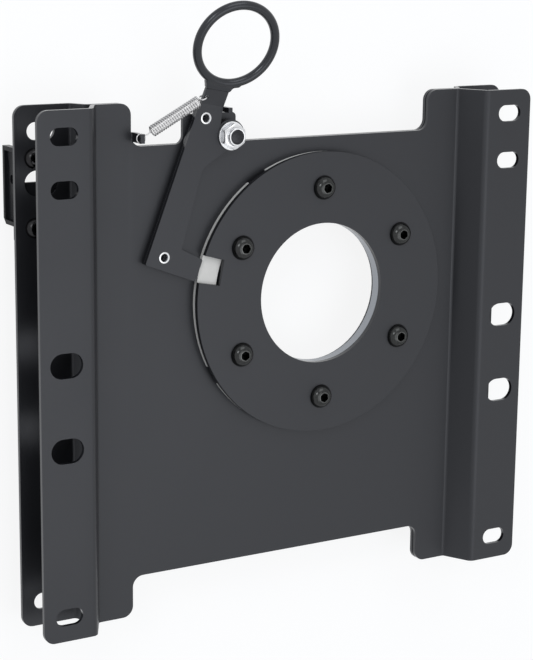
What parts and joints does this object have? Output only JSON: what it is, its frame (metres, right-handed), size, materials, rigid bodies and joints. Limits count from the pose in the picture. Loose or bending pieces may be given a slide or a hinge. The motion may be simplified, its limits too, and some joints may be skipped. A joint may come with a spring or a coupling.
{
  "type": "swivel seat base",
  "caption": "Flat steel swivel base for a vehicle seat: two flanged plates turn about a hollow hub and lock with a spring lever and pull ring.",
  "frame": {"origin": "centre of the four lower fixing slots, on the mounting face under the lower plate's flanges", "axes": "+Z along the swivel axis towards the seat, +X across the plate to the right, +Y towards the side with the pull ring"},
  "size_m": [0.4, 0.4335, 0.0743],
  "materials": {
    "plate_paint": "fine satin black powder coat",
    "disc_paint": "satin black powder coat",
    "lever_paint": "satin black powder coat",
    "bracket_paint": "satin black powder coat",
    "black_screw": "black oxide, lightly oiled",
    "zinc": "bright zinc plate",
    "hub_zinc": "turned and zinc plated",
    "spring_steel": "bright drawn wire",
    "slip_plastic": "natural low-friction plastic",
    "bush_bronze": "sintered bronze",
    "ring_plastic": "black moulded plastic with a fine grain"
  },
  "bodies": {
    "lower_body": {"lower_plate": "plate_paint", "hub_ring": "hub_zinc", "retaining_disc": "disc_paint", "slip_segments": "slip_plastic", "lower_slip_ring": "slip_plastic", "clamp_screws": "black_screw", "clamp_washers": "zinc", "clamp_nuts": "zinc", "side_bracket": "bracket_paint", "bracket_screws": "black_screw", "bracket_nuts": "zinc"},
    "upper_body": {"upper_plate": "plate_paint", "pivot_stud": "black_screw", "pivot_spacer": "slip_plastic", "pivot_bush": "bush_bronze", "pivot_washer": "zinc", "pivot_nut": "zinc", "tension_spring": "spring_steel"},
    "lock_lever": {"lever_front_plate": "lever_paint", "lever_back_plate": "lever_paint", "lever_rivets": "zinc", "ring_grip": "ring_plastic"}
  },
  "joints": [
    {"name": "swivel", "type": "hinge", "parent": "lower_body", "child": "upper_body", "pos_m": [0.028, 0.04, 0.0175], "axis": [0, 0, 1], "range_deg": [0, 360]},
    {"name": "lever_pivot", "type": "hinge", "parent": "upper_body", "child": "lock_lever", "pos_m": [-0.0487, 0.1578, 0.0227], "axis": [0, 0, 1], "range_deg": [-5.4, 10.3], "stiffness_Nm_per_rad": 0.8, "springref_deg": 51.57, "deforming": ["tension_spring"]}
  ]
}
